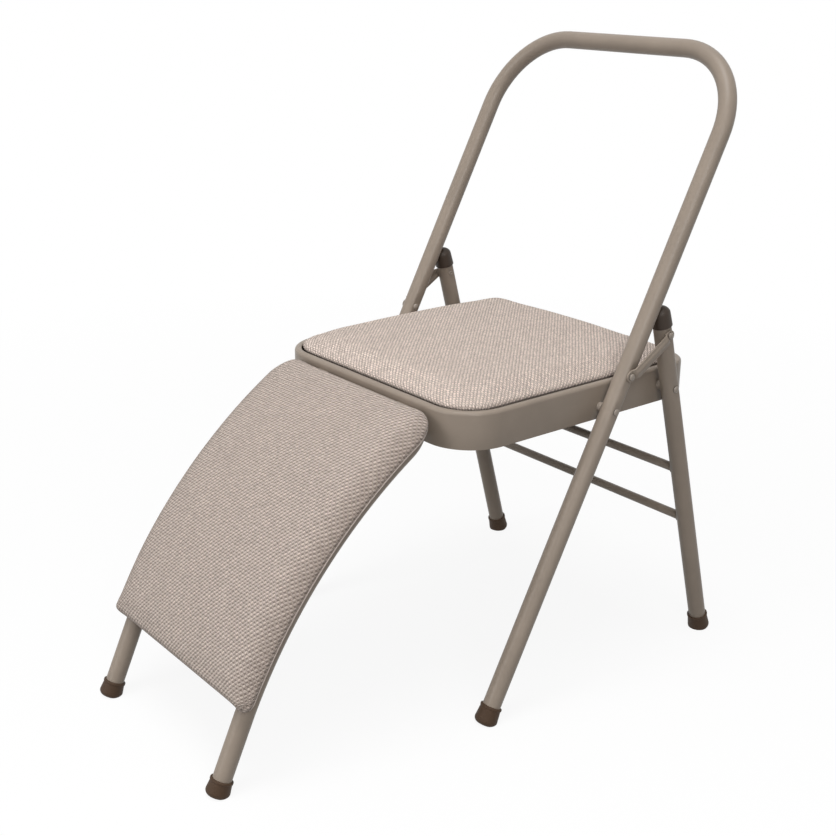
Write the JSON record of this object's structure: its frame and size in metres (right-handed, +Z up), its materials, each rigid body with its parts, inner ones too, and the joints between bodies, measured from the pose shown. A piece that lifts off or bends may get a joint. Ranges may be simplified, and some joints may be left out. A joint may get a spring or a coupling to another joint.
{
  "type": "folding yoga chair",
  "caption": "Folding steel yoga chair with an open hoop back, a padded seat and a curved padded extension that slopes from its front edge to the floor.",
  "frame": {"origin": "on the floor, under the middle of the chair's box", "axes": "+Z up; the seat faces -Y, towards the extension; +X is the sitter's left"},
  "size_m": [0.494, 0.8325, 0.8572],
  "materials": {
    "frame_paint": "satin taupe powder coat",
    "rivet_steel": "taupe rivet",
    "tip_rubber": "matte dark brown",
    "boot_plastic": "satin dark brown",
    "board_wood": "plain plywood",
    "seat_fabric": "nubby woven beige upholstery",
    "screw_steel": "zinc plated"
  },
  "bodies": {
    "hoop_frame": {"hoop_tube": "frame_paint", "hoop_tip_left": "tip_rubber", "hoop_tip_right": "tip_rubber", "seat_pivot_rivet_left": "rivet_steel", "seat_pivot_rivet_right": "rivet_steel", "seat_pivot_spacer_left": "rivet_steel", "seat_pivot_spacer_right": "rivet_steel", "link_pin_left": "rivet_steel", "link_pin_right": "rivet_steel"},
    "seat": {"seat_pan": "frame_paint", "side_plate_left": "frame_paint", "side_plate_right": "frame_paint", "seat_board": "board_wood", "seat_cushion": "seat_fabric", "seat_screw_front_left": "screw_steel", "seat_screw_front_right": "screw_steel", "seat_screw_rear_left": "screw_steel", "seat_screw_rear_right": "screw_steel", "extension_hook_left": "frame_paint", "extension_hook_right": "frame_paint", "hook_rivet_left": "rivet_steel", "hook_rivet_right": "rivet_steel"},
    "rear_legs": {"rear_leg_left": "frame_paint", "rear_leg_right": "frame_paint", "upper_rung": "frame_paint", "lower_rung": "frame_paint", "rear_tip_left": "tip_rubber", "rear_tip_right": "tip_rubber", "leg_boot_left": "boot_plastic", "leg_boot_right": "boot_plastic", "leg_pivot_rivet_left": "rivet_steel", "leg_pivot_rivet_right": "rivet_steel", "leg_pivot_spacer_left": "rivet_steel", "leg_pivot_spacer_right": "rivet_steel", "link_rivet_rear_left": "rivet_steel", "link_rivet_rear_right": "rivet_steel"},
    "left_link": {"link_left": "frame_paint", "link_rivet_front_left": "rivet_steel"},
    "right_link": {"link_right": "frame_paint", "link_rivet_front_right": "rivet_steel"},
    "extension": {"extension_tube": "frame_paint", "extension_tip_left": "tip_rubber", "extension_tip_right": "tip_rubber", "extension_board": "board_wood", "extension_cushion": "seat_fabric", "extension_screw_lower_left": "screw_steel", "extension_screw_lower_right": "screw_steel", "extension_screw_upper_left": "screw_steel", "extension_screw_upper_right": "screw_steel"}
  },
  "joints": [
    {"name": "seat_fold", "type": "hinge", "parent": "hoop_frame", "child": "seat", "pos_m": [0, 0.16698, 0.39699], "axis": [-1, 0, 0], "range_deg": [0, 103.5]},
    {"name": "rear_leg_fold", "type": "hinge", "parent": "seat", "child": "rear_legs", "pos_m": [0, 0.28348, 0.40529], "axis": [-1, 0, 0], "range_deg": [-64.5, 0]},
    {"name": "left_link_fold", "type": "hinge", "parent": "rear_legs", "child": "left_link", "pos_m": [0, 0.26204, 0.48599], "axis": [-1, 0, 0], "range_deg": [0, 88.6]},
    {"name": "right_link_fold", "type": "hinge", "parent": "rear_legs", "child": "right_link", "pos_m": [0, 0.26204, 0.48599], "axis": [-1, 0, 0], "range_deg": [0, 88.6]},
    {"name": "extension_swing", "type": "hinge", "parent": "seat", "child": "extension", "pos_m": [0, -0.08802, 0.39449], "axis": [1, 0, 0], "range_deg": [0, 60]}
  ],
  "couplings": [
    {"joint": "rear_leg_fold", "follows": "seat_fold", "ratio": -0.6219},
    {"joint": "left_link_fold", "follows": "seat_fold", "ratio": 0.8551},
    {"joint": "right_link_fold", "follows": "seat_fold", "ratio": 0.8551}
  ]
}
